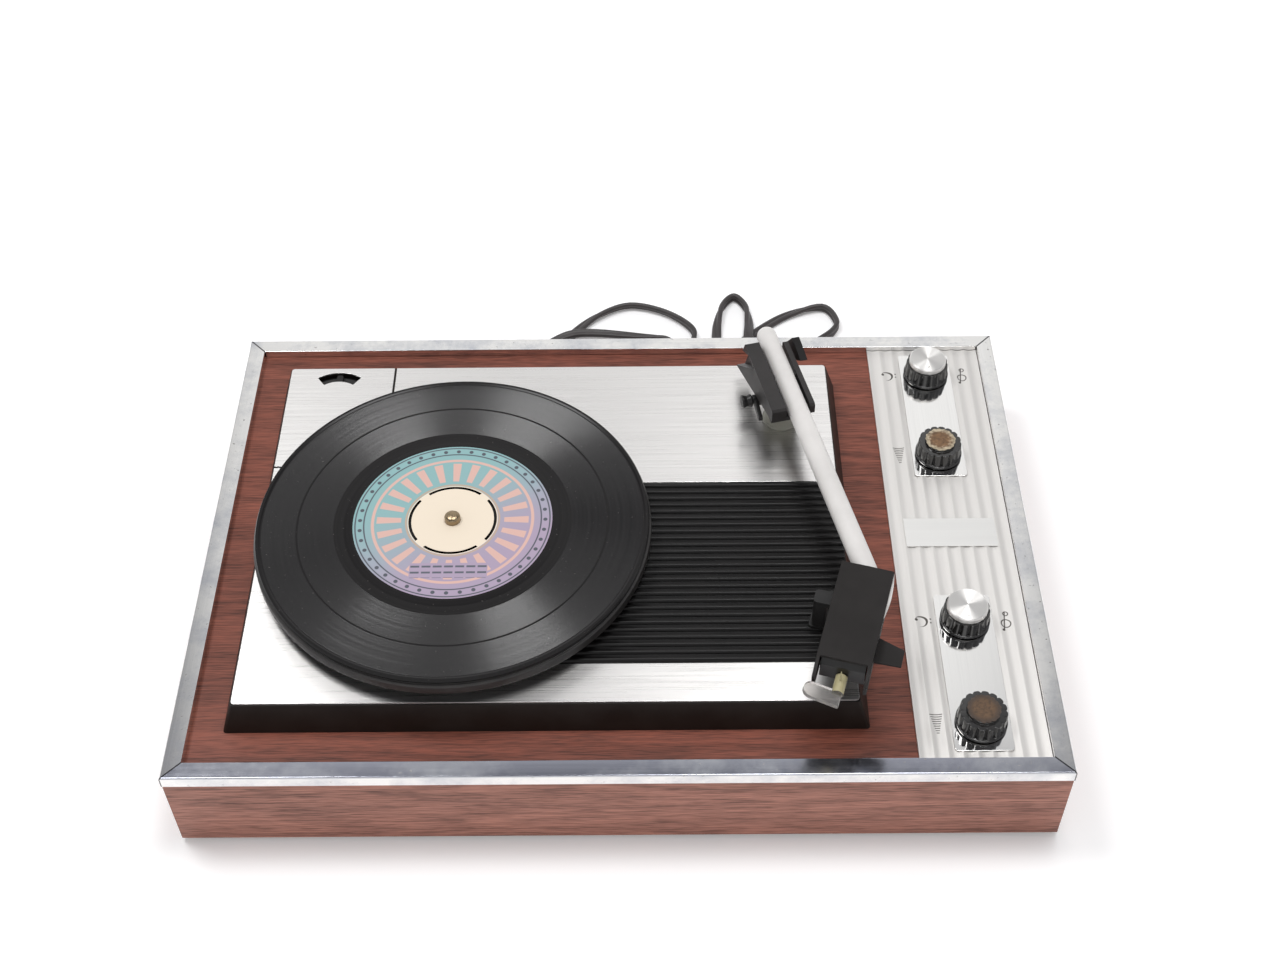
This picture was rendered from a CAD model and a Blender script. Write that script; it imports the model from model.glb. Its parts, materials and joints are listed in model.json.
"""A table record player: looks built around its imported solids, in metres, in the same frame."""

import json
import math

import bmesh
import bpy
from mathutils import Matrix, Vector

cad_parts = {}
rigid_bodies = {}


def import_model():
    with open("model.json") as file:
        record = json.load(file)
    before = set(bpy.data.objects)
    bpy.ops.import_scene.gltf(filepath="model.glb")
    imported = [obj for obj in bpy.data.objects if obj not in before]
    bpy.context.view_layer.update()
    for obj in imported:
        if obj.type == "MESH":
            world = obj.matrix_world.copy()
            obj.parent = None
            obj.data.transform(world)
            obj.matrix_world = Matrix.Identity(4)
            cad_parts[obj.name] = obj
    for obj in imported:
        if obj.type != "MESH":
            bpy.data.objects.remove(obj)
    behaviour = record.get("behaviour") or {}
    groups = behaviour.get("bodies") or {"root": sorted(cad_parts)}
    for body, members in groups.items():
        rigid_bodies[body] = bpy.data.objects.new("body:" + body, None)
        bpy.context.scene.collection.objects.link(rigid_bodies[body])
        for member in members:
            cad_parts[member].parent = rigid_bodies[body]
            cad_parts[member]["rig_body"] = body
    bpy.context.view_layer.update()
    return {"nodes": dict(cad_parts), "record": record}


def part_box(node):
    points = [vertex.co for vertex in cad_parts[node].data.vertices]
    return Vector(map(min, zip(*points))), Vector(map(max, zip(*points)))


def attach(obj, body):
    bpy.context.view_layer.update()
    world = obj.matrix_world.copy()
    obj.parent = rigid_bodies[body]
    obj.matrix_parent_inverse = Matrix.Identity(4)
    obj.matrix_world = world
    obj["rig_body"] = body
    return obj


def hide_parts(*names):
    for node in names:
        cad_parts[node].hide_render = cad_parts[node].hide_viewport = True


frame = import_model()
nodes = frame["nodes"]
scene = bpy.context.scene
scene.view_settings.view_transform = "Standard"


# Camera: a short telephoto on a stand in front of the player, looking down on the deck.
# Its place, turn and lens were solved from the cabinet's corners and the round record.
camera_place = Vector((0.0130, -0.5145, 0.6603))
camera_yaw = math.radians(-0.34)
camera_pitch = math.radians(48.13)
camera_roll = math.radians(-0.68)
sensor_width = 36.0
picture_width_px = 1280
focal_px = 1730.8

ahead = Vector((
    math.sin(camera_yaw) * math.cos(camera_pitch),
    math.cos(camera_yaw) * math.cos(camera_pitch),
    -math.sin(camera_pitch),
))
level_right = Vector((math.cos(camera_yaw), -math.sin(camera_yaw), 0))
level_up = level_right.cross(ahead)
picture_right = math.cos(camera_roll) * level_right + math.sin(camera_roll) * level_up
picture_up = math.cos(camera_roll) * level_up - math.sin(camera_roll) * level_right

lens = bpy.data.cameras.new("studio_camera")
lens.sensor_width = sensor_width
lens.lens = focal_px / picture_width_px * sensor_width
camera = bpy.data.objects.new("studio_camera", lens)
turn = Matrix((picture_right, picture_up, -ahead)).transposed().to_4x4()
camera.matrix_world = Matrix.Translation(camera_place) @ turn
scene.collection.objects.link(camera)
scene.camera = camera


# Mains cord: flat twin flex with a ribbed rubber skin, dark grey. It drops from its strain relief,
# lies in loose loops behind the player, and the rest is folded into a tied hank that ends in the plug.
cord_width = 0.0054
cord_thickness = 0.0028
# x, y, lift of the underside, and roll in degrees: 0 lies flat, 90 stands on edge
cord_route = [
    (0.1000, 0.1562, 0.0146, 0), (0.1010, 0.1650, 0.0100, 0), (0.1070, 0.1740, 0.0020, 30),
    (0.1155, 0.1830, 0, 80), (0.1189, 0.1920, 0, 90), (0.1115, 0.2036, 0, 80), (0.0910, 0.1980, 0, 15),
    (0.0704, 0.1813, 0, 0), (0.0580, 0.1680, 0, 40), (0.0535, 0.1550, 0, 90), (0.0600, 0.1455, 0, 90),
    (0.0675, 0.1520, 0, 90), (0.0690, 0.1680, 0.0026, 10), (0.0694, 0.1800, 0.0036, 0),
    (0.0702, 0.1900, 0.0020, 30), (0.0690, 0.2040, 0, 90), (0.0628, 0.2125, 0, 90), (0.0560, 0.2050, 0, 90),
    (0.0528, 0.1920, 0, 40), (0.0514, 0.1760, 0, 0), (0.0475, 0.1615, 0, 80), (0.0400, 0.1570, 0, 90),
    (0.0348, 0.1630, 0, 90), (0.0388, 0.1755, 0, 90), (0.0385, 0.1870, 0, 90), (0.0238, 0.2010, 0, 60),
    (0.0043, 0.2067, 0, 60), (-0.0124, 0.1995, 0, 50), (-0.0245, 0.1880, 0, 10), (-0.0325, 0.1745, 0, 0),
    (-0.0280, 0.1665, 0, 80), (-0.0120, 0.1650, 0, 90), (0.0140, 0.1660, 0, 90), (0.0275, 0.1715, 0, 90),
    (0.0240, 0.1793, 0, 60), (0.0098, 0.1822, 0, 20), (-0.0140, 0.1829, 0.0024, 0),
    (-0.0285, 0.1803, 0.0039, 0), (-0.0410, 0.1730, 0.0032, 20), (-0.0550, 0.1643, 0.0012, 90),
]
cord_tail = [
    (-0.0550, 0.1336, 0.0071, 90), (-0.0460, 0.1350, 0.0062, 80), (-0.0370, 0.1415, 0.0050, 40),
    (-0.0280, 0.1475, 0.0046, 0),
]
hank_middle = Vector((-0.100, 0.150, 0.0012))
hank_loops = 3.75
hank_climb_at = 1.5
hank_climb_loops = 0.25
hank_run = 0.090
hank_fold = 0.008
hank_loop_step = cord_thickness + 0.0014
hank_layer_step = cord_width + 0.0005
hank_waist = 0.004
hank_loop_points = 48
route_steps = 6


def along_route(points, steps):
    """Points of one smooth curve through the route's points, as (x, y, lift, roll)."""
    fine = []
    for i in range(len(points) - 1):
        before, start, end, after = (
            Vector(points[k]) for k in (max(i - 1, 0), i, i + 1, min(i + 2, len(points) - 1))
        )
        for step in range(steps):
            t = step / steps
            fine.append(0.5 * (
                2 * start + (end - before) * t
                + (2 * before - 5 * start + 4 * end - after) * t ** 2
                + (3 * start - before - 3 * end + after) * t ** 3
            ))
    return fine + [Vector(points[-1])]


def laid(point):
    """The cord's centre and roll where its underside is lifted by the point's third number."""
    roll = math.radians(point[3])
    half_height = math.hypot(cord_width / 2 * math.sin(roll), cord_thickness / 2 * math.cos(roll))
    return Vector((point[0], point[1], point[2] + half_height)), roll


def hank_point(s):
    """Centre of the cord s loops into the hank: in on the lower layer, up along a run, out on the upper."""
    climbed = min(1, max(0, (s - hank_climb_at) / hank_climb_loops))
    winds = hank_climb_at - s if s < hank_climb_at else max(0, s - hank_climb_at - hank_climb_loops)
    radius = hank_fold + hank_loop_step * winds
    height = cord_width / 2 + hank_layer_step * climbed ** 2 * (3 - 2 * climbed)
    part = s % 1
    run = hank_run / 2 * (1 - 8 * (part % 0.5))
    angle = math.pi * (part % 0.25) * 4
    drawn_in = hank_waist * math.cos(min(1, abs(run) / (hank_run / 2)) * math.pi / 2) ** 2
    if part < 0.25:
        return Vector((run, radius - drawn_in, height))
    if part < 0.5:
        return Vector((-hank_run / 2 - radius * math.sin(angle), radius * math.cos(angle), height))
    if part < 0.75:
        return Vector((-run, -radius + drawn_in, height))
    return Vector((hank_run / 2 + radius * math.sin(angle), -radius * math.cos(angle), height))


stations = [laid(point) for point in along_route(cord_route, route_steps)[:-1]]
stations += [
    (hank_middle + hank_point(i / hank_loop_points), math.pi / 2)
    for i in range(int(hank_loops * hank_loop_points) + 1)
]
stations += [laid(point) for point in along_route(cord_tail, route_steps)[1:]]
cord_path = [centre for centre, roll in stations]
cord_length = sum((b - a).length for a, b in zip(cord_path, cord_path[1:]))

# Section of the flex: two round cores side by side with a groove between them
core_radius = cord_thickness / 2
core_offset = cord_width / 2 - core_radius
lobe_degrees = range(-140, 141, 20)
section = bpy.data.curves.new("cord_section", "CURVE")
outline = section.splines.new("POLY")
lobe = [
    (core_offset + core_radius * math.cos(a), core_radius * math.sin(a))
    for a in map(math.radians, lobe_degrees)
]
ring = lobe + [(-x, -y) for x, y in lobe]
outline.points.add(len(ring) - 1)
for spot, (x, y) in zip(outline.points, ring):
    spot.co = (x, y, 0, 1)
outline.use_cyclic_u = True
section_object = bpy.data.objects.new("cord_section", section)
scene.collection.objects.link(section_object)

sweep = bpy.data.curves.new("mains_cord_twin", "CURVE")
sweep.dimensions = "3D"
sweep.twist_mode = "Z_UP"
sweep.bevel_mode = "OBJECT"
sweep.bevel_object = section_object
sweep.use_fill_caps = True
centreline = sweep.splines.new("POLY")
centreline.points.add(len(stations) - 1)
for spot, (centre, roll) in zip(centreline.points, stations):
    spot.co = (*centre, 1)
    spot.tilt = roll
sweep_object = bpy.data.objects.new("cord_sweep", sweep)
scene.collection.objects.link(sweep_object)
swept = sweep_object.evaluated_get(bpy.context.evaluated_depsgraph_get())
cord = bpy.data.objects.new("mains_cord_twin", bpy.data.meshes.new_from_object(swept))
scene.collection.objects.link(cord)
for helper in (sweep_object, section_object):
    bpy.data.objects.remove(helper)
for curve in (sweep, section):
    bpy.data.curves.remove(curve)
for face in cord.data.polygons:
    face.use_smooth = True


def linear(hex_colour):
    """An sRGB hex colour as linear RGBA."""
    values = [int(hex_colour[i:i + 2], 16) / 255 for i in (1, 3, 5)]
    return (*(v / 12.92 if v <= 0.04045 else ((v + 0.055) / 1.055) ** 2.4 for v in values), 1.0)


# Settings that many shader nodes share
in_colour = {"data_type": "RGBA"}
times = {"operation": "MULTIPLY"}
scaled_sum = {"operation": "MULTIPLY_ADD"}


def fill(node, inputs):
    """Fills or links a node's inputs, by name or number."""
    for key, value in inputs.items():
        if isinstance(value, bpy.types.NodeSocket):
            node.id_data.links.new(value, node.inputs[key])
        else:
            node.inputs[key].default_value = value


def add(tree, kind, settings=None, inputs=None, output=None):
    """Adds a shader node with its settings and links.

    Gives the output of that name, or else the first one that the settings leave in use.
    """
    made = tree.nodes.new("ShaderNode" + kind)
    for name, value in (settings or {}).items():
        setattr(made, name, value)
    fill(made, inputs or {})
    return made.outputs[output] if output else next(out for out in made.outputs if out.enabled)


def material_of(name, colour, roughness, **sockets):
    """A material of one Principled shader, with its node tree and that shader."""
    material = bpy.data.materials.new(name)
    material.use_nodes = True
    shader = material.node_tree.nodes["Principled BSDF"]
    fill(shader, {"Base Color": linear(colour), "Roughness": roughness})
    for key, value in sockets.items():
        shader.inputs[key.replace("_", " ").title().replace("Ior", "IOR")].default_value = value
    return material, material.node_tree, shader


# Moulded rubber: dull, with a faint mottle where hands and floors have rubbed it.
cord_rubber, tree, shader = material_of("moulded_rubber_flex", "#393535", roughness=0.42)
place = add(tree, "TexCoord", output="Object")
rub = add(tree, "TexNoise", inputs={"Vector": place, "Scale": 90.0, "Detail": 3.0})
tint = add(tree, "Mix", in_colour, {0: rub, 6: linear("#2c2929"), 7: linear("#474242")})
fill(shader, {"Base Color": tint})
cord.data.materials.append(cord_rubber)

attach(cord, "cabinet")
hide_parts("mains_cord", "cord_hank")
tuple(cord_path[0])


# Studio: a seamless white table under two overhead soft boxes, in a room with white walls before and behind
# the player and a grey ceiling. The bright trim and the plates pick that change up.
floor_half = 3.0
table_glow = 0.14
table_fades_white = (0.5, 1.3)
ceiling_grey = "#7c7d82"
wall_level = (0.95, 0.95, 0.95, 1)
pure_white = (1, 1, 1, 1)
# Where the white starts and where it is whole: by height for the first two, by turn for the third
low_white_to = (0.60, 0.45)
wall_white_to = (0.845, 0.815)
wall_half_turn = (0.863, 0.979)
box_places = {"left": Vector((-0.65, 0.28, 1.60)), "right": Vector((0.25, 0.10, 1.60))}
box_size = (0.50, 0.50)
box_watts = 9.5

surface = bmesh.new()
bmesh.ops.create_grid(surface, x_segments=1, y_segments=1, size=floor_half)
floor_mesh = bpy.data.meshes.new("studio_table")
surface.to_mesh(floor_mesh)
surface.free()
floor = bpy.data.objects.new("studio_table", floor_mesh)
scene.collection.objects.link(floor)
# White laminate: matt, and a little brighter to the eye and in reflections than it lights the player. Away
# from the player it fades into the white behind it.
table_white, tree, shader = material_of("white_table_laminate", "#fbfbfb", roughness=0.9)
light_path = add(tree, "LightPath").node.outputs
seen = add(tree, "Math", {"operation": "ADD", "use_clamp": True}, {
    0: light_path["Is Camera Ray"], 1: light_path["Is Glossy Ray"]})
reach = add(tree, "VectorMath", {"operation": "LENGTH"}, {0: add(tree, "TexCoord", output="Object")})
fading = add(tree, "MapRange", inputs={
    "Value": reach, "From Min": table_fades_white[0], "From Max": table_fades_white[1]})
far = add(tree, "Math", times, {0: fading, 1: light_path["Is Camera Ray"]})
glow = add(tree, "Math", scaled_sum, {0: seen, 1: table_glow, 2: far})
fill(shader, {"Emission Color": pure_white, "Emission Strength": glow})
floor.data.materials.append(table_white)

world = bpy.data.worlds.new("white_studio")
world.use_nodes = True
scene.world = world
tree = world.node_tree
in_plan = (1, 1, 0)
direction = add(tree, "TexCoord", output="Generated")
height = add(tree, "SeparateXYZ", inputs={"Vector": direction}, output="Z")
flat_way = add(tree, "VectorMath", times, {0: direction, 1: in_plan})
flat_way = add(tree, "VectorMath", {"operation": "NORMALIZE"}, {0: flat_way})
fore_and_aft = add(tree, "SeparateXYZ", inputs={"Vector": flat_way}, output="Y")
fore_and_aft = add(tree, "Math", {"operation": "ABSOLUTE"}, {0: fore_and_aft})
soft_change = {"interpolation_type": "SMOOTHSTEP"}
low_white, wall_height, wall_turn = (
    add(tree, "MapRange", soft_change, {"Value": value, "From Min": start, "From Max": whole})
    for value, (start, whole) in (
        (height, low_white_to), (height, wall_white_to), (fore_and_aft, wall_half_turn))
)
wall_white = add(tree, "Math", times, {0: wall_height, 1: wall_turn})
white = add(tree, "Math", {"operation": "MAXIMUM"}, {0: low_white, 1: wall_white})
wall = add(tree, "Mix", in_colour, {0: white, 6: linear(ceiling_grey), 7: wall_level})
camera_ray = add(tree, "LightPath", output="Is Camera Ray")
seen_white = add(tree, "Mix", in_colour, {0: camera_ray, 6: wall, 7: pure_white})
fill(tree.nodes["Background"], {"Color": seen_white})

for side, box_place in box_places.items():
    soft_box = bpy.data.lights.new("soft_box_" + side, "AREA")
    soft_box.shape = "RECTANGLE"
    soft_box.size, soft_box.size_y = box_size
    soft_box.energy = box_watts
    lamp = bpy.data.objects.new("soft_box_" + side, soft_box)
    aim = (-box_place).to_track_quat("-Z", "Y").to_matrix().to_4x4()
    lamp.matrix_world = Matrix.Translation(box_place) @ aim
    scene.collection.objects.link(lamp)


# Cabinet: chipboard walls wrapped in printed wood-grain foil, mitred and glued at the corners.
# The foil is satin and red-brown, with fine dark pores and wandering growth rings along each board.
wall_arris = 0.0004
hard_angle = math.radians(32)
flat_angle = math.radians(0.5)
weld_distance = 1e-6
mitre_slant = 0.45


def dress(material, *names):
    """Gives CAD nodes a material of the scene."""
    for name in names:
        nodes[name].data.materials.clear()
        nodes[name].data.materials.append(material)


def piece_of(name, shape, material, body):
    """Turns a bmesh into a finished piece that rides on a body."""
    mesh = bpy.data.meshes.new(name)
    shape.to_mesh(mesh)
    shape.free()
    mesh.materials.append(material)
    piece = bpy.data.objects.new(name, mesh)
    scene.collection.objects.link(piece)
    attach(piece, body)
    return piece


def rounded(shape, edges, arris, segments=2):
    """Rounds edges of a bmesh, and shades all its faces smooth."""
    bmesh.ops.bevel(
        shape, geom=edges, offset=arris, affect="EDGES", segments=segments, profile=0.5, material=-1,
        clamp_overlap=True,
    )
    for face in shape.faces:
        face.smooth = True


def eased(name, material, arris=0.0003, segments=2, mitred=False):
    """A copy of a CAD node with its arrises rounded, which stands for that node.

    A mitred length keeps its two cut ends sharp, so that they close on the next length.
    """
    shell = bmesh.new()
    shell.from_mesh(nodes[name].data)
    bmesh.ops.remove_doubles(shell, verts=shell.verts, dist=weld_distance)
    bmesh.ops.dissolve_limit(shell, angle_limit=flat_angle, verts=shell.verts, edges=shell.edges)
    sharp = [e for e in shell.edges if e.is_manifold and e.calc_face_angle() > hard_angle]
    if mitred:
        cuts = {f for f in shell.faces if abs(f.normal.x * f.normal.y) > mitre_slant}
        sharp = [e for e in sharp if cuts.isdisjoint(e.link_faces)]
    rounded(shell, sharp, arris, segments)
    for edge in shell.edges:
        edge.smooth = not edge.is_manifold or edge.calc_face_angle() < hard_angle
    piece = piece_of(name + "_finished", shell, material, nodes[name]["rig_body"])
    piece.modifiers.new("flat_faces_lead", "WEIGHTED_NORMAL").keep_sharp = True
    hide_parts(name)
    return piece


def streaked(tree, place, scale, detail, **more):
    """Noise drawn out into streaks: its scale is per metre, along X, Y and Z."""
    drawn = add(tree, "Mapping", inputs={"Vector": place, "Scale": scale})
    return add(tree, "TexNoise", inputs={"Vector": drawn, "Scale": 1.0, "Detail": detail, **more})


def foil(name, turn, dark, light):
    """Printed wood-grain foil whose grain runs along X, or along Y when turned a quarter."""
    material, tree, shader = material_of(name, light, roughness=0.34, specular_ior_level=0.3)
    place = add(tree, "TexCoord", output="Object")
    along = add(tree, "Mapping", inputs={"Vector": place, "Rotation": (0, 0, turn)})
    # Figure: growth rings about 8 mm apart, drawn out to a quarter of a metre
    ring_phase = 52.0
    figure = streaked(tree, along, (4, 40, 40), detail=2.0, Distortion=0.3)
    rings = add(tree, "Math", times, {0: figure, 1: ring_phase})
    rings = add(tree, "Math", {"operation": "SINE"}, {0: rings})
    rings = add(tree, "MapRange", inputs={"Value": rings, "From Min": -1.0, "From Max": 1.0})
    # Pores: dashes 0.35 mm wide and 10 mm long
    pores = streaked(tree, along, (100, 2900, 2900), detail=2.0)
    pores = add(tree, "MapRange", inputs={"Value": pores, "From Min": 0.38, "From Max": 0.58})
    # Fibres: pale and dark lines 1 mm wide that run 120 mm
    fibres = streaked(tree, along, (8, 950, 950), detail=3.0)
    # Heartwood: broad streaks, about 15 mm wide
    streaks = streaked(tree, along, (2, 70, 70), detail=3.0)
    depth = -0.44
    for layer, amount in ((rings, 0.24), (pores, 0.50), (fibres, 0.70), (streaks, 0.60)):
        depth = add(tree, "Math", scaled_sum, {0: layer, 1: amount, 2: depth})
    grain = add(tree, "Mix", in_colour, {0: depth, 6: linear(dark), 7: linear(light)})
    gloss = add(tree, "MapRange", inputs={"Value": pores, "To Min": 0.46, "To Max": 0.34})
    relief = add(tree, "Bump", inputs={"Strength": 0.08, "Distance": 0.0002, "Height": pores})
    fill(shader, {"Base Color": grain, "Roughness": gloss, "Normal": relief})
    return material


for grain, turn, walls in (
    ("long", 0.0, ("wall_front", "wall_rear")),
    ("side", math.pi / 2, ("wall_left", "wall_right")),
):
    wall_foil = foil("wood_grain_foil_" + grain, turn, "#492a21", "#b37a69")
    for wall in walls:
        eased(wall, wall_foil, wall_arris)


# Base and feet: a screwed-on hardboard sheet with vent slots, four pressed rubber feet and the
# countersunk wood screws that hold the sheet in the walls' rebates.
# Tempered hardboard: matt brown, with short felted fibres.
hardboard, tree, shader = material_of("tempered_hardboard", "#6b5138", roughness=0.75)
place = add(tree, "TexCoord", output="Object")
fibres = add(tree, "TexNoise", inputs={"Vector": place, "Scale": 700.0, "Detail": 5.0, "Distortion": 1.5})
tint = add(tree, "Mix", in_colour, {0: fibres, 6: linear("#4a3624"), 7: linear("#84684a")})
fill(shader, {"Base Color": tint})
dress(hardboard, "base_board")

mm_per_m = 1000.0
worn_dulls = 0.12


def moulding(name, colour, worn, roughness, grit_mm, relief=0.15, **sockets):
    """Moulded plastic or rubber: a colour, its worn shade, and a fine even grain of the tool's surface."""
    material, tree, shader = material_of(name, colour, roughness, **sockets)
    place = add(tree, "TexCoord", output="Object")
    wear = add(tree, "TexNoise", inputs={"Vector": place, "Scale": 60.0, "Detail": 4.0, "Roughness": 0.6})
    wear = add(tree, "MapRange", inputs={"Value": wear, "From Min": 0.4, "From Max": 0.75})
    tint = add(tree, "Mix", in_colour, {0: wear, 6: linear(colour), 7: linear(worn)})
    sheen = add(tree, "MapRange", inputs={
        "Value": wear, "To Min": roughness, "To Max": min(1.0, roughness + worn_dulls)})
    grit = add(tree, "TexNoise", inputs={"Vector": place, "Scale": mm_per_m / grit_mm, "Detail": 2.0})
    bump = add(tree, "Bump", inputs={"Strength": relief, "Distance": 0.0001, "Height": grit})
    fill(shader, {"Base Color": tint, "Roughness": sheen, "Normal": bump})
    return material


# Pressed rubber: dull black, greyer where it has rubbed.
foot_rubber = moulding("pressed_foot_rubber", "#1f1e1e", "#3a3837", roughness=0.7, grit_mm=0.6, relief=0.3)
eased("rubber_feet", foot_rubber, arris=0.0006)


def metal(name, colour, roughness, streaks, relief_mm=0.0015, spread=0.10, contrast=0.14):
    """Metal with a directional finish: streaks gives its pattern scale per metre along X, Y and Z."""
    material, tree, shader = material_of(name, colour, roughness, metallic=1.0)
    place = add(tree, "TexCoord", output="Object")
    drawn = streaked(tree, place, streaks, detail=4.0, Roughness=0.65)
    sheen = add(tree, "MapRange", inputs={
        "Value": drawn, "From Min": 0.3, "From Max": 0.7,
        "To Min": roughness - spread, "To Max": roughness + spread})
    bright = linear(colour)
    dull = (*((1 - contrast) * part for part in bright[:3]), 1.0)
    tint = add(tree, "Mix", in_colour, {0: drawn, 6: dull, 7: bright})
    bump = add(tree, "Bump", inputs={"Distance": relief_mm / mm_per_m, "Height": drawn})
    fill(shader, {"Base Color": tint, "Roughness": sheen, "Normal": bump})
    return material


# Zinc plate: a soft grey shine with no direction.
zinc_plate = metal("zinc_plated_steel", "#b8b2a2", roughness=0.38, streaks=(300, 300, 300))
dress(zinc_plate, "base_screws", "motor_plates", "idler_arm")


# Top board: the same foil on a thinner board, let into the walls' rebates under the trim.
# Its grain runs across the player, and it is a little darker than the walls.
board_foil = foil("wood_grain_foil_top", 0.0, "#3a2019", "#8f5242")
dress(board_foil, "top_board")


# Trim: four lengths of bright-dipped aluminium channel, mitred at the corners and tacked to the walls.
# Years of wiping have left it scuffed, with drawing lines along each length and dull pits.
trim_arris = 0.00025
mitre_line = 0.0003
flange_bright = "#f2f1ef"
trim_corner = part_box("trim_front")[0]
mitre_from_square = abs(trim_corner.x) - abs(trim_corner.y)


def trim_metal(name, colour, roughness, streaks):
    """Bright-dipped aluminium with drawing lines, cloudy scuffs, and pits where moisture has got to it."""
    material = metal(name, colour, roughness, streaks, relief_mm=0.0006, spread=0.02)
    tree = material.node_tree
    shader = tree.nodes["Principled BSDF"]
    place = add(tree, "TexCoord", output="Object")
    scuffs = add(tree, "TexNoise", inputs={"Vector": place, "Scale": 45.0, "Detail": 5.0, "Roughness": 0.65})
    scuffs = add(tree, "MapRange", inputs={"Value": scuffs, "From Min": 0.42, "From Max": 0.72})
    pits = add(tree, "TexNoise", inputs={"Vector": place, "Scale": 420.0, "Detail": 5.0, "Roughness": 0.7})
    pits = add(tree, "MapRange", inputs={"Value": pits, "From Min": 0.64, "From Max": 0.70})
    # The closed mitres: a thin dark line from each corner inwards
    sides = add(tree, "VectorMath", {"operation": "ABSOLUTE"}, {0: place})
    sides = add(tree, "SeparateXYZ", inputs={"Vector": sides}).node.outputs
    aside = add(tree, "Math", {"operation": "SUBTRACT"}, {0: sides["X"], 1: sides["Y"]})
    aside = add(tree, "Math", {"operation": "SUBTRACT"}, {0: aside, 1: mitre_from_square})
    aside = add(tree, "Math", {"operation": "ABSOLUTE"}, {0: aside})
    seam = add(tree, "MapRange", inputs={"Value": aside, "From Min": 2 * mitre_line, "From Max": mitre_line})
    # The upright flange keeps its first brightness
    facing = add(tree, "NewGeometry", output="Normal")
    upward = add(tree, "SeparateXYZ", inputs={"Vector": facing}, output="Z")
    tint = shader.inputs["Base Color"].links[0].from_socket
    tint = add(tree, "Mix", in_colour, {0: upward, 6: linear(flange_bright), 7: tint})
    for mask, stain in ((scuffs, "#c6c8ce"), (pits, "#9d9b98"), (seam, "#4b4a4c")):
        tint = add(tree, "Mix", in_colour, {0: mask, 6: tint, 7: linear(stain)})
    sheen = shader.inputs["Roughness"].links[0].from_socket
    for layer, amount in ((scuffs, 0.07), (pits, 0.15)):
        sheen = add(tree, "Math", scaled_sum, {0: layer, 1: amount, 2: sheen})
    fill(shader, {"Base Color": tint, "Roughness": sheen})
    return material


# The front length has been handled most, and its bloom is bluer and duller.
for kind, colour, roughness, streaks, lengths in (
    ("front", "#b2b4c0", 0.15, (10, 1500, 1500), ("trim_front",)),
    ("long", flange_bright, 0.10, (10, 1500, 1500), ("trim_rear",)),
    ("side", flange_bright, 0.10, (1500, 10, 1500), ("trim_left", "trim_right")),
):
    bright_metal = trim_metal("bright_dipped_trim_" + kind, colour, roughness, streaks)
    for length in lengths:
        eased(length, bright_metal, trim_arris, mitred=True)


# Deck: a flared black tray screwed down on the top board, faced with brushed aluminium plates and a
# ribbed black insert. A small dial shows through the window in the corner plate.
plate_arris = 0.00015
to_world = {"vector_type": "VECTOR", "convert_from": "OBJECT", "convert_to": "WORLD"}


def gloss_along(material, direction, amount):
    """Draws a material's highlights out along a direction that is given in the piece's own axes."""
    tree = material.node_tree
    turned = add(tree, "VectorTransform", to_world, {"Vector": direction})
    fill(tree.nodes["Principled BSDF"], {"Tangent": turned, "Anisotropic": amount})


# Satin black paint: dark brown-black, and a soft shine on the flared sides.
tray_black = moulding(
    "satin_black_tray", "#17120f", "#211b18", roughness=0.40, grit_mm=0.8, relief=0.1, specular_ior_level=0.3)
eased("deck_tray", tray_black, arris=0.0006, segments=3)
# Brushed aluminium: the brushing runs across the player, so reflections smear up and down it.
deck_metal = metal(
    "brushed_deck_aluminium", "#e6e4e2", roughness=0.30, streaks=(14, 1900, 1900), relief_mm=0.02,
    spread=0.05, contrast=0.12,
)
gloss_along(deck_metal, (0, 1, 0), amount=0.75)
for plate in ("deck_plate", "front_plate", "corner_plate"):
    eased(plate, deck_metal, arris=plate_arris)
# Ribbed plastic: black, with a thin line of light along each rib.
insert_black = moulding(
    "ribbed_insert_plastic", "#0d0c0c", "#161414", roughness=0.36, grit_mm=0.8, relief=0.08,
    specular_ior_level=0.22)
eased("ribbed_insert", insert_black)
# Dial plastic: a plain matt black.
dial_black = moulding(
    "speed_dial_plastic", "#131212", "#201e1e", roughness=0.45, grit_mm=0.6, specular_ior_level=0.3)
dress(dial_black, "speed_dial")


# Drive: a sintered bronze bush, a shaded-pole motor hung on rubber, and an idler wheel on its arm.
# All of it is out of sight under the platter, in plain workshop finishes.
bush_bronze = metal("sintered_bronze", "#a5834f", roughness=0.4, streaks=(400, 400, 400))
dress(bush_bronze, "bearing_bush")
lamination_steel = metal(
    "oiled_stampings", "#77797b", roughness=0.45, streaks=(40, 40, 2000), relief_mm=0.01)
dress(lamination_steel, "motor_stator", "transformer")
winding_tape = moulding("taped_winding", "#a65a2a", "#8a4a24", roughness=0.55, grit_mm=1.0)
dress(winding_tape, "motor_coil")
dress(foot_rubber, "motor_grommets")
turned_alloy = metal("turned_alloy", "#c2b28a", roughness=0.3, streaks=(60, 60, 3000))
dress(turned_alloy, "motor_rotor")
idler_rubber = moulding(
    "ground_idler_rubber", "#262525", "#393636", roughness=0.75, grit_mm=0.5, relief=0.3)
dress(idler_rubber, "idler_wheel")


# Turntable: a pressed steel platter in black paint, a rubber mat on it, and a turned spindle of
# nickel-plated brass through the middle.
platter_paint = moulding(
    "painted_platter_steel", "#242222", "#353231", roughness=0.36, grit_mm=0.5, relief=0.1,
    specular_ior_level=0.4)
eased("platter", platter_paint)
mat_rubber = moulding(
    "platter_mat_rubber", "#181717", "#252322", roughness=0.7, grit_mm=0.5, relief=0.3,
    specular_ior_level=0.3)
dress(mat_rubber, "platter_mat")
spindle_nickel = metal("worn_nickel_spindle", "#9c8a70", roughness=0.28, streaks=(80, 80, 3000))
dress(spindle_nickel, "spindle")


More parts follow.
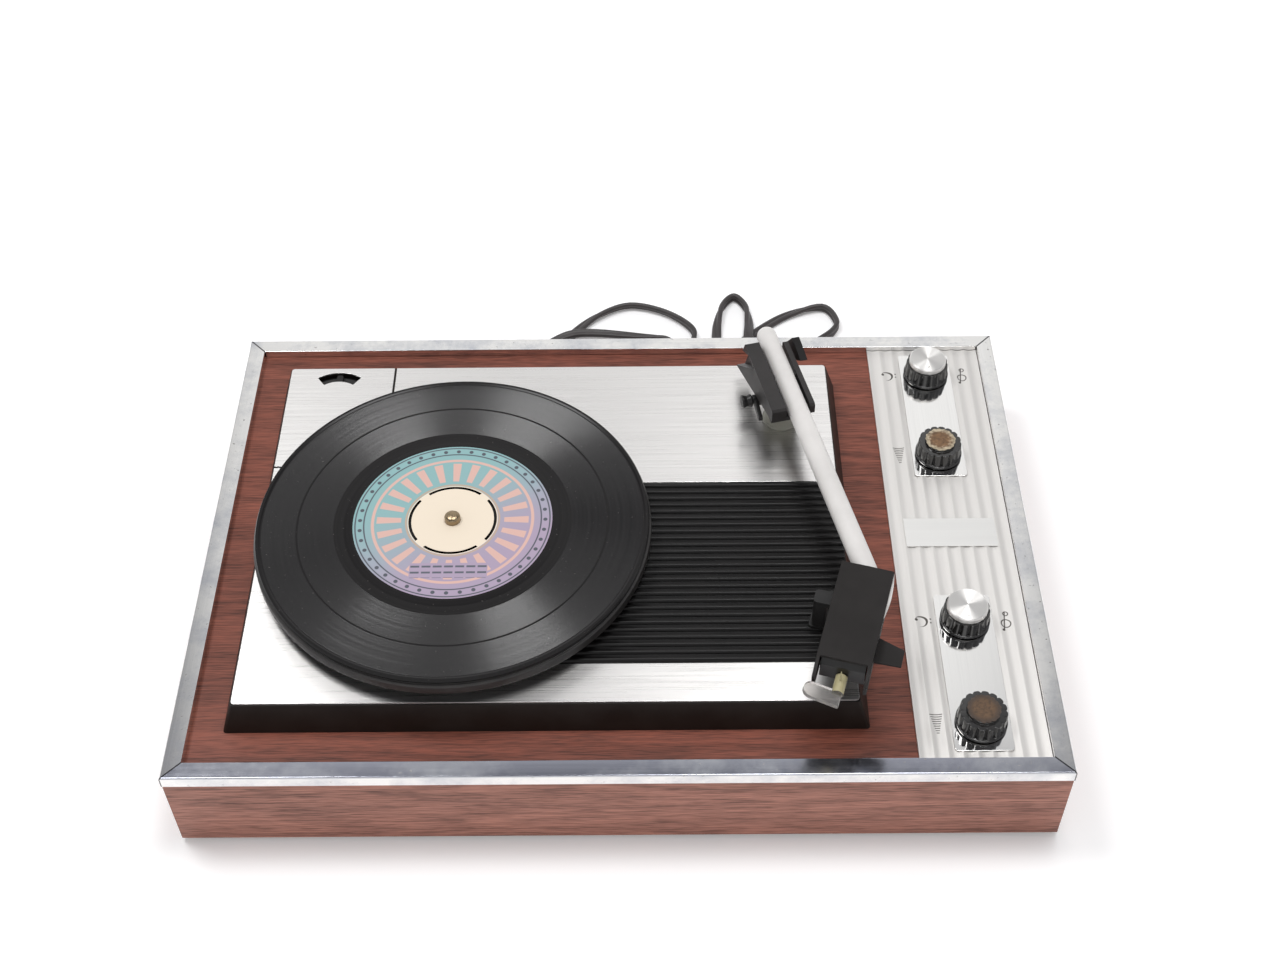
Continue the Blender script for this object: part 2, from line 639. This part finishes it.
# Record: a pressed vinyl single with a push-out centre. Its V-shaped grooves tilt the surface in and out by
# turns, which gives the bright wedges; the rim, the gap between tracks and the run-out are smooth.
disc_low, disc_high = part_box("record_disc")
disc_middle = (disc_low + disc_high) / 2
disc_radius = (disc_high.x - disc_low.x) / 2
label_low, label_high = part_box("record_label")
label_radius = (label_high.x - label_low.x) / 2
grooves_from = 0.0530
grooves_to = disc_radius - 0.0030
groove_edge = 0.0003
track_gap_at = 0.0690
track_gap_half = 0.0004
track_gap_edge = 0.0001
groove_pitch = 0.00015
groove_tilt = math.tan(math.radians(20))
minus = {"operation": "SUBTRACT", "use_clamp": True}


def product(tree, *values):
    """Values multiplied together: for masks, 1 where all of them are."""
    common = values[0]
    for value in values[1:]:
        common = add(tree, "Math", times, {0: common, 1: value})
    return common


def band(tree, value, low, high, edge):
    """1 where a value lies between low and high, with a soft edge."""
    rise = add(tree, "MapRange", inputs={"Value": value, "From Min": low - edge, "From Max": low})
    fall = add(tree, "MapRange", inputs={"Value": value, "From Min": high + edge, "From Max": high})
    return product(tree, rise, fall)


vinyl, tree, shader = material_of("pressed_vinyl", "#181717", roughness=0.22)
place = add(tree, "TexCoord", output="Object")
centred = add(tree, "Mapping", inputs={"Vector": place, "Location": tuple(-disc_middle)})
outwards = add(tree, "VectorMath", times, {0: centred, 1: in_plan})
radius = add(tree, "VectorMath", {"operation": "LENGTH"}, {0: outwards})
tracks = add(tree, "TexNoise", {"noise_dimensions": "1D"}, {"W": radius, "Scale": 700.0, "Detail": 4.0})
dust = add(tree, "TexNoise", inputs={"Vector": place, "Scale": 900.0, "Detail": 2.0})
dust = add(tree, "MapRange", inputs={"Value": dust, "From Min": 0.72, "From Max": 0.80})
tint = add(tree, "Mix", in_colour, {0: tracks, 6: linear("#131212"), 7: linear("#1e1c1d")})
tint = add(tree, "Mix", in_colour, {0: dust, 6: tint, 7: linear("#5a5654")})
fill(shader, {"Base Color": tint})

grooved = band(tree, radius, grooves_from, grooves_to, groove_edge)
gap = band(tree, radius, track_gap_at - track_gap_half, track_gap_at + track_gap_half, track_gap_edge)
grooved = add(tree, "Math", minus, {0: grooved, 1: gap})
shine = add(tree, "MapRange", inputs={"Value": grooved, "To Min": 0.2, "To Max": 0.45})
fill(shader, {"Specular IOR Level": shine})
loudness = add(tree, "MapRange", inputs={
    "Value": tracks, "From Min": 0.3, "From Max": 0.7, "To Min": 0.94, "To Max": 1.06})
wave = add(tree, "Math", times, {0: radius, 1: 2 * math.pi / groove_pitch})
for shaping in ("SINE", "SIGN"):
    wave = add(tree, "Math", {"operation": shaping}, {0: wave})
tilt = product(tree, wave, grooved, loudness, groove_tilt)
spokes = add(tree, "VectorMath", {"operation": "NORMALIZE"}, {0: outwards})
leaning = add(tree, "VectorMath", {"operation": "SCALE"}, {0: spokes, "Scale": tilt})
leaning = add(tree, "VectorTransform", to_world, {"Vector": leaning})
upright = add(tree, "NewGeometry", output="Normal")
groove_wall = add(tree, "VectorMath", {"operation": "ADD"}, {0: upright, 1: leaning})
groove_wall = add(tree, "VectorMath", {"operation": "NORMALIZE"}, {0: groove_wall})
fill(shader, {"Normal": groove_wall})
dress(vinyl, "record_disc")


# Label: uncoated paper, printed from teal to lilac with peach rays round a cream middle, a dotted rim
# and rows of plain dashes, and pressed into the vinyl.
print_edge = 0.006
ray_count = 24
rim_dots = 44
rim_radius = 0.93
blend_lean = -0.6
blend_clouds = 0.5
lilac, teal, peach, grey_ink = "#a595ab", "#86adae", "#d3aca1", "#4b4f58"


def stripes(tree, value, period, half, edge):
    """1 in stripes of a half width that come again at each period."""
    nearest = add(tree, "Math", {"operation": "PINGPONG"}, {0: value, 1: period / 2})
    return band(tree, nearest, -1, half, edge)


label_paper, tree, shader = material_of("printed_label_paper", "#9ab7b9", roughness=0.62)
place = add(tree, "TexCoord", output="Object")
on_label = add(tree, "Mapping", inputs={
    "Vector": place, "Location": tuple(-disc_middle / label_radius), "Scale": (1 / label_radius,) * 3})
axes = add(tree, "SeparateXYZ", inputs={"Vector": on_label}).node.outputs
outwards = add(tree, "VectorMath", times, {0: on_label, 1: in_plan})
radius = add(tree, "VectorMath", {"operation": "LENGTH"}, {0: outwards})
angle = add(tree, "Math", {"operation": "ARCTAN2"}, {0: axes["Y"], 1: axes["X"]})
side = add(tree, "Math", {"operation": "ABSOLUTE"}, {0: axes["X"]})

slant = add(tree, "Math", scaled_sum, {0: axes["X"], 1: blend_lean, 2: axes["Y"]})
cloud = add(tree, "TexNoise", inputs={"Vector": place, "Scale": 70.0, "Detail": 4.0})
slant = add(tree, "Math", scaled_sum, {0: cloud, 1: blend_clouds, 2: slant})
blend = add(tree, "MapRange", soft_change, {"Value": slant, "From Min": -0.5, "From Max": 0.9})
field = add(tree, "Mix", in_colour, {0: blend, 6: linear(lilac), 7: linear(teal)})
rays = stripes(tree, angle, 2 * math.pi / ray_count, 0.055, print_edge)
round_rim = add(tree, "Math", {"operation": "PINGPONG"}, {0: angle, 1: math.pi / rim_dots})
round_rim = add(tree, "Math", times, {0: round_rim, 1: rim_radius})
off_rim = add(tree, "Math", {"operation": "SUBTRACT"}, {0: radius, 1: rim_radius})
from_dot = add(tree, "CombineXYZ", inputs={"X": round_rim, "Y": off_rim})
from_dot = add(tree, "VectorMath", {"operation": "LENGTH"}, {0: from_dot})
rows = stripes(tree, axes["Y"], 0.075, 0.009, print_edge)
dashes = stripes(tree, axes["X"], 0.11, 0.041, print_edge)
foot_rows = product(
    tree, band(tree, axes["Y"], -0.74, -0.56, print_edge), band(tree, side, -1, 0.38, print_edge))
for mask, ink in (
    (product(tree, rays, band(tree, radius, 0.52, 0.76, print_edge)), peach),
    (band(tree, radius, 0.79, 0.815, print_edge), peach),
    (band(tree, radius, 0.885, 0.893, print_edge), grey_ink),
    (band(tree, radius, 0.972, 0.980, print_edge), grey_ink),
    (band(tree, from_dot, -1, 0.018, print_edge), grey_ink),
    (foot_rows, lilac),
    (product(tree, rows, dashes, foot_rows), "#565a64"),
    (band(tree, radius, -1, 0.45, print_edge), "#e6d8c4"),
    (band(tree, radius, 0.462, 0.474, print_edge), "#b7a08c"),
):
    field = add(tree, "Mix", in_colour, {0: mask, 6: field, 7: linear(ink)})
fibre = add(tree, "TexNoise", inputs={"Vector": place, "Scale": 2200.0, "Detail": 2.0})
bump = add(tree, "Bump", inputs={"Strength": 0.1, "Distance": 0.0001, "Height": fibre})
fill(shader, {"Base Color": field, "Normal": bump})
dress(label_paper, "record_label")


# Arm: a painted column, a moulded yoke that turns on it, and a painted tube with a moulded channel
# head. The head holds a cartridge with a turnover stylus, and rests on a moulded post.
joints = {joint["name"]: joint for joint in frame["record"]["behaviour"]["joints"]}
stylus_from_back = 0.055
head_forward = -Vector(joints["stylus_flip"]["axis"])
head_right = Vector((-head_forward.y, head_forward.x, 0))
head_back = Vector(joints["stylus_flip"]["pos_m"]) - stylus_from_back * head_forward
head_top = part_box("headshell")[1].z
head_half = 0.01125


def drawn_out(corners, by):
    """A bmesh of a flat outline that is drawn out by a vector."""
    shape = bmesh.new()
    foot = shape.faces.new([shape.verts.new(corner) for corner in corners])
    grown = bmesh.ops.extrude_face_region(shape, geom=[foot])["geom"]
    risen = [part for part in grown if isinstance(part, bmesh.types.BMVert)]
    bmesh.ops.translate(shape, vec=by, verts=risen)
    bmesh.ops.recalc_face_normals(shape, faces=shape.faces)
    return shape


# Column paint: a dull olive grey.
column_paint = moulding("olive_column_paint", "#7d7c72", "#8b8a80", roughness=0.45, grit_mm=0.5, relief=0.1)
eased("arm_column", column_paint)
# Yoke plastic: charcoal, finely grained.
yoke_black = moulding(
    "moulded_yoke_plastic", "#292726", "#343131", roughness=0.45, grit_mm=0.6, specular_ior_level=0.3)
eased("arm_yoke", yoke_black, arris=0.0004)
dress(yoke_black, "arm_pin")
# The pocket at the back of its left cheek is closed by a dark pad, set just inside the cheek's face
yoke_middle = Vector(joints["arm_swing"]["pos_m"])
cheek_out = -Vector(joints["arm_lift"]["axis"]).normalized()
cheek_back = Vector((0, 0, 1)).cross(cheek_out)
# Each corner of the pad: how far back along the cheek, and how high above the table
pad_outline = ((0.0300, 0.0722), (0.0256, 0.0866), (0.0190, 0.0950), (0.0127, 0.0944), (0.0050, 0.0930))
pad_from, pad_to = 0.0096, 0.0130
pocket_pad = drawn_out([
    (*(yoke_middle + back * cheek_back + pad_from * cheek_out).xy, height) for back, height in pad_outline
], (pad_to - pad_from) * cheek_out)
pad_black = moulding(
    "yoke_pocket_pad", "#121111", "#1a1818", roughness=0.5, grit_mm=0.6, specular_ior_level=0.2)
piece_of("yoke_pocket_pad", pocket_pad, pad_black, "yoke")
# Tube paint: a pale warm grey in satin, with soft shading round the tube.
tube_paint = moulding("satin_tube_paint", "#d8d5d2", "#cecbc8", roughness=0.34, grit_mm=1.0, relief=0.03)
dress(tube_paint, "arm_tube")
weight_iron = moulding("cast_weight_iron", "#6d6f72", "#58595c", roughness=0.6, grit_mm=0.6)
dress(weight_iron, "arm_weight")
# Head plastic: black, flat and slightly dusty on top.
head_black = moulding(
    "moulded_head_plastic", "#1c1918", "#242120", roughness=0.46, grit_mm=0.7, specular_ior_level=0.2)
eased("headshell", head_black)
cartridge_black = moulding(
    "cartridge_plastic", "#131212", "#1c1b1b", roughness=0.3, grit_mm=0.6, specular_ior_level=0.4)
eased("cartridge", cartridge_black)
rest_black = moulding(
    "arm_rest_plastic", "#171616", "#242222", roughness=0.36, grit_mm=0.6, specular_ior_level=0.4)
eased("arm_rest", rest_black)
eased("cue_lever", rest_black, arris=0.0002)

# A thin bowed leaf of the tube's clamp shows along the back of the head's outer wall
leaf_length = 0.023
leaf_bulge = 0.0011
leaf_below_top = 0.004
leaf_height = 0.0028
leaf_steps = 12
bow = []
for k in range(leaf_steps + 1):
    part = k / leaf_steps
    aside = head_half + leaf_bulge * math.sin(math.pi * part)
    corner = head_back + aside * head_right + leaf_length * part * head_forward
    bow.append((*corner.xy, head_top - leaf_below_top))
leaf = drawn_out(bow, (0, 0, leaf_height))
piece_of("clamp_leaf", leaf, tube_paint, "arm")

# Stylus plastic: a cream-olive holder, and a clear flip lever gone grey.
stylus_cream = moulding("cream_stylus_plastic", "#b5ac86", "#96906c", roughness=0.35, grit_mm=0.6)
lever_clear = moulding(
    "clear_lever_plastic", "#dedbd8", "#c9c5c1", roughness=0.14, grit_mm=0.8, relief=0.05,
    transmission_weight=0.85, ior=1.3)
lever_from_back = 0.0594
stylus = eased("stylus_lever", stylus_cream, arris=0.00025)
stylus.data.materials.append(lever_clear)
for face in stylus.data.polygons:
    if (face.center - head_back).dot(head_forward) > lever_from_back:
        face.material_index = 1


# Controls: a fluted aluminium strip with two polished plates let on to it, and four moulded knobs. Two
# knobs keep their spun caps; the other two show the dried glue that held theirs.
knob_middle = {
    name: sum(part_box(name), Vector()) / 2
    for name in ("tone_knob_rear", "volume_knob_rear", "tone_knob_front", "volume_knob_front")
}
knob_x = knob_middle["tone_knob_rear"].x
tone_y = knob_middle["tone_knob_rear"].y
volume_y = knob_middle["volume_knob_rear"].y
pair_step = tone_y - knob_middle["tone_knob_front"].y
panel_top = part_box("control_panel")[1].z

# Fluted aluminium: a satin anodised grey-white, printed with plain signs for low, high and loud.
panel_metal = metal(
    "fluted_panel_aluminium", "#e9e6e2", roughness=0.42, streaks=(300, 6, 300), relief_mm=0.0003, spread=0.02)
tree = panel_metal.node_tree
shader = tree.nodes["Principled BSDF"]
fill(shader, {"Metallic": 0.5})
axes = add(tree, "SeparateXYZ", inputs={"Vector": add(tree, "TexCoord", output="Object")}).node.outputs
low_sign_out = -0.0191
high_sign_out = 0.0177
loud_sign_out = -0.0185
ink_edge = 0.12
sign_ink = "#57534f"


def sign_axes(tree, axes, x, y):
    """Millimetres across and along from the middle of a sign that comes again at each pair of knobs."""
    across = add(tree, "Math", scaled_sum, {0: axes["X"], 1: mm_per_m, 2: -mm_per_m * x})
    along = add(tree, "Math", {"operation": "ADD"}, {0: axes["Y"], 1: pair_step / 2 - y})
    along = add(tree, "Math", {"operation": "FLOORED_MODULO"}, {0: along, 1: pair_step})
    along = add(tree, "Math", scaled_sum, {0: along, 1: mm_per_m, 2: -mm_per_m * pair_step / 2})
    return across, along


def ring_at(tree, across, along, x, y, inner, outer):
    """1 on a ring round a point of a sign, or on the whole disc where inner lies below 0."""
    spot = add(tree, "CombineXYZ", inputs={"X": across, "Y": along})
    away = add(tree, "VectorMath", {"operation": "DISTANCE"}, {0: spot, 1: (x, y, 0)})
    return band(tree, away, inner, outer, ink_edge)


# Low: a crescent that is open at its lower left, a dot at its head and two dots beside it
across, along = sign_axes(tree, axes, knob_x + low_sign_out, tone_y)
within = ring_at(tree, across, along, 0, 0, -1, 2.9)
hollow = ring_at(tree, across, along, -0.55, -0.25, -1, 2.5)
crescent = add(tree, "Math", minus, {0: within, 1: hollow})
low_left = product(tree, band(tree, across, -9, -0.9, ink_edge), band(tree, along, -9, 1.2, ink_edge))
signs = [add(tree, "Math", minus, {0: crescent, 1: low_left})]
for x, y, size in ((-2.1, 0.9, 0.65), (4.1, 1.0, 0.32), (4.1, -1.0, 0.32)):
    signs.append(ring_at(tree, across, along, x, y, -1, size))
# High: a leaning stroke with a large ring, a small one at its top and a dot at its foot
across, along = sign_axes(tree, axes, knob_x + high_sign_out, tone_y)
lean = add(tree, "Math", scaled_sum, {0: along, 1: -0.12, 2: across})
signs.append(product(tree, band(tree, lean, -0.2, 0.2, ink_edge), band(tree, along, -5.0, 5.2, ink_edge)))
for ring in ((0.5, -1.4, 1.9, 2.3), (0.9, 4.0, 0.9, 1.25), (-0.9, -4.9, -1, 0.6)):
    signs.append(ring_at(tree, across, along, *ring))
# Loud: a ladder of bars that grow wider
across, along = sign_axes(tree, axes, knob_x + loud_sign_out, volume_y)
width = add(tree, "Math", {"operation": "ABSOLUTE"}, {0: across})
taper = add(tree, "Math", scaled_sum, {0: along, 1: -0.225, 2: width})
bars = stripes(tree, along, 1.15, 0.15, ink_edge)
ladder = band(tree, along, -5.4, 5.4, ink_edge)
signs.append(product(tree, bars, band(tree, taper, -9, 1.62, ink_edge), ladder))
tint = shader.inputs["Base Color"].links[0].from_socket
for sign in signs:
    tint = add(tree, "Mix", in_colour, {0: sign, 6: tint, 7: linear(sign_ink)})
fill(shader, {"Base Color": tint})
eased("control_panel", panel_metal, arris=0.0004)

# Polished aluminium: a near mirror, in which the knobs stand on their own reflections.
flat_metal = metal(
    "polished_knob_plate", "#fbfaf8", roughness=0.09, streaks=(1500, 10, 1500), relief_mm=0.0001, spread=0.02)
eased("knob_plates", flat_metal, arris=0.0001)

# The name plate between the knob pairs is bare sheet with a fine satin finish
bare_sheet = metal(
    "satin_bare_sheet", "#f4f3f0", roughness=0.40, streaks=(8, 900, 900), relief_mm=0.0005, spread=0.03,
    contrast=0.06)
plate_half_width = 0.02105
plate_y = (-0.0074, 0.0093)
plate_thickness = 0.0004
plate_x = (knob_x - plate_half_width, knob_x + plate_half_width)
corners = [(plate_x[i], plate_y[k], panel_top) for i, k in ((0, 0), (1, 0), (1, 1), (0, 1))]
name_plate = drawn_out(corners, (0, 0, plate_thickness))
piece_of("bare_name_plate", name_plate, bare_sheet, "cabinet")

# Knob plastic: glossy black, with the white room in its flutes.
knob_black = moulding(
    "glossy_knob_plastic", "#1a1918", "#242221", roughness=0.09, grit_mm=0.8, relief=0.03,
    specular_ior_level=0.9)
knob_lobes = 16
knob_points = 12 * knob_lobes
groove_depth = 0.0010
foot_radius, body_radius, crown_radius, boss_radius = 0.0110, 0.0107, 0.0101, 0.0072
foot_height, body_height, boss_height = 0.0014, 0.0080, 0.0093
knob_arris = 0.00025


def knob_ring(middle, radius, depth, height):
    """Points round a knob at one height, with a groove of the depth between each two lobes."""
    ring = []
    for k in range(knob_points):
        a = 2 * math.pi * k / knob_points
        r = radius - depth * (1 - abs(math.sin(knob_lobes / 2 * a))) ** 2
        ring.append(Vector((middle.x + r * math.cos(a), middle.y + r * math.sin(a), height)))
    return ring


for knob, middle in knob_middle.items():
    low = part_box(knob)[1].z - boss_height
    rings = [knob_ring(middle, radius, depth, low + height) for radius, depth, height in (
        (foot_radius, 0, 0), (foot_radius, 0, foot_height), (body_radius, groove_depth, foot_height),
        (crown_radius, groove_depth, body_height), (boss_radius, 0, body_height),
        (boss_radius, 0, boss_height))]
    shape = bmesh.new()
    top = shape.faces.new([shape.verts.new(point) for point in rings[0]])
    for ring in rings[1:]:
        below = top
        grown = bmesh.ops.extrude_face_region(shape, geom=[below])["geom"]
        top = next(part for part in grown if isinstance(part, bmesh.types.BMFace))
        if ring is not rings[1]:
            bmesh.ops.delete(shape, geom=[below], context="FACES_ONLY")
        for vert in top.verts:
            turn = math.atan2(vert.co.y - middle.y, vert.co.x - middle.x) / (2 * math.pi)
            vert.co = ring[round(turn * knob_points) % knob_points]
    bmesh.ops.recalc_face_normals(shape, faces=shape.faces)
    sharp = [e for e in shape.edges if e.calc_face_angle() > hard_angle]
    rounded(shape, sharp, knob_arris)
    finished = piece_of(knob + "_lobed", shape, knob_black, nodes[knob]["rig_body"])
    finished.modifiers.new("flat_faces_lead", "WEIGHTED_NORMAL").keep_sharp = True
    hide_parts(knob)

# Spun aluminium: the lathe's fine rings draw the light out into wedges.
for cap in ("tone_cap_rear", "tone_cap_front"):
    cap_middle = sum(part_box(cap), Vector()) / 2
    cap_metal = metal(
        "spun_aluminium_" + cap, "#f3f1ee", roughness=0.44, streaks=(30, 30, 30), relief_mm=0.0003,
        spread=0.03)
    tree = cap_metal.node_tree
    place = add(tree, "TexCoord", output="Object")
    centred = add(tree, "Mapping", inputs={"Vector": place, "Location": tuple(-cap_middle)})
    outwards = add(tree, "VectorMath", times, {0: centred, 1: in_plan})
    spokes = add(tree, "VectorMath", {"operation": "NORMALIZE"}, {0: outwards})
    gloss_along(cap_metal, spokes, amount=0.85)
    eased(cap, cap_metal, arris=0.0001)

# Dried glue: a brown crust on each bare boss, with a pale rim on the rear one.
glue_radius = 0.0070
glue_thickness = 0.00025
glue_points = 96
glue_lumps = 0.0080
glue_rim = (0.0086, 0.0102)
# The waves of its ragged edge: how far out, how many round, and where they start
glue_waves = ((0.00018, 17, 0), (0.00014, 7, 1))
for knob, body, rim, crust in (
    ("volume_knob_rear", "volume_rear", "#b9aa90", "#7d5c3c"),
    ("volume_knob_front", "volume_front", "#46362a", "#62482f"),
):
    middle = knob_middle[knob]
    boss_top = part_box(knob)[1].z
    glue, tree, shader = material_of("dried_glue_" + body, crust, roughness=0.6)
    place = add(tree, "TexCoord", output="Object")
    centred = add(tree, "Mapping", inputs={"Vector": place, "Location": (-middle.x, -middle.y, -boss_top)})
    radius = add(tree, "VectorMath", {"operation": "LENGTH"}, {0: centred})
    lumps = add(tree, "TexNoise", inputs={"Vector": place, "Scale": 600.0, "Detail": 6.0, "Roughness": 0.75})
    uneven = add(tree, "Math", scaled_sum, {0: lumps, 1: glue_lumps, 2: radius})
    edge = add(tree, "MapRange", inputs={"Value": uneven, "From Min": glue_rim[0], "From Max": glue_rim[1]})
    tint = add(tree, "Mix", in_colour, {0: edge, 6: linear(crust), 7: linear(rim)})
    dark = add(tree, "MapRange", inputs={
        "Value": lumps, "From Min": 0.35, "From Max": 0.6, "To Min": 0.4, "To Max": 1.05})
    mottled = add(tree, "Mix", {**in_colour, "blend_type": "MULTIPLY"}, {0: 1.0, 6: tint, 7: dark})
    bump = add(tree, "Bump", inputs={"Strength": 0.6, "Distance": 0.0003, "Height": lumps})
    fill(shader, {"Base Color": mottled, "Normal": bump})
    ragged = []
    for k in range(glue_points):
        a = 2 * math.pi * k / glue_points
        r = glue_radius + sum(out * math.sin(count * a + start) for out, count, start in glue_waves)
        ragged.append((middle.x + r * math.cos(a), middle.y + r * math.sin(a), boss_top))
    piece_of("glue_" + body, drawn_out(ragged, (0, 0, glue_thickness)), glue, body)


# Amplifier and supply: a phenolic board on spacers with sleeved capacitors and a finned sink, and plain
# potentiometers under the top board. None of it shows with the base on.
laminate = moulding("phenolic_laminate", "#7a5a2c", "#6a4c24", roughness=0.5, grit_mm=1.0)
dress(laminate, "amp_board")
can_sleeve = moulding("sleeved_capacitor", "#3f5f8f", "#36527c", roughness=0.3, grit_mm=1.0)
dress(can_sleeve, "capacitors")
sink_metal = metal("plain_sink_aluminium", "#8c8f92", roughness=0.4, streaks=(30, 30, 1200))
dress(sink_metal, "heat_sink", "potentiometers")


# Back: two moulded speaker sockets pressed into the rear wall, the cord's rubber relief and tie, and a
# moulded two-pin plug on the cord's end.
socket_black = moulding("speaker_socket_plastic", "#1d1d1d", "#2b2a2a", roughness=0.5, grit_mm=0.6)
eased("speaker_sockets", socket_black)
relief_rubber = moulding(
    "strain_relief_rubber", "#262424", "#353232", roughness=0.6, grit_mm=0.6, relief=0.25)
dress(relief_rubber, "strain_relief", "cord_tie")
plug_black = moulding("moulded_plug_plastic", "#262424", "#343131", roughness=0.45, grit_mm=0.6)
dress(plug_black, "mains_plug")
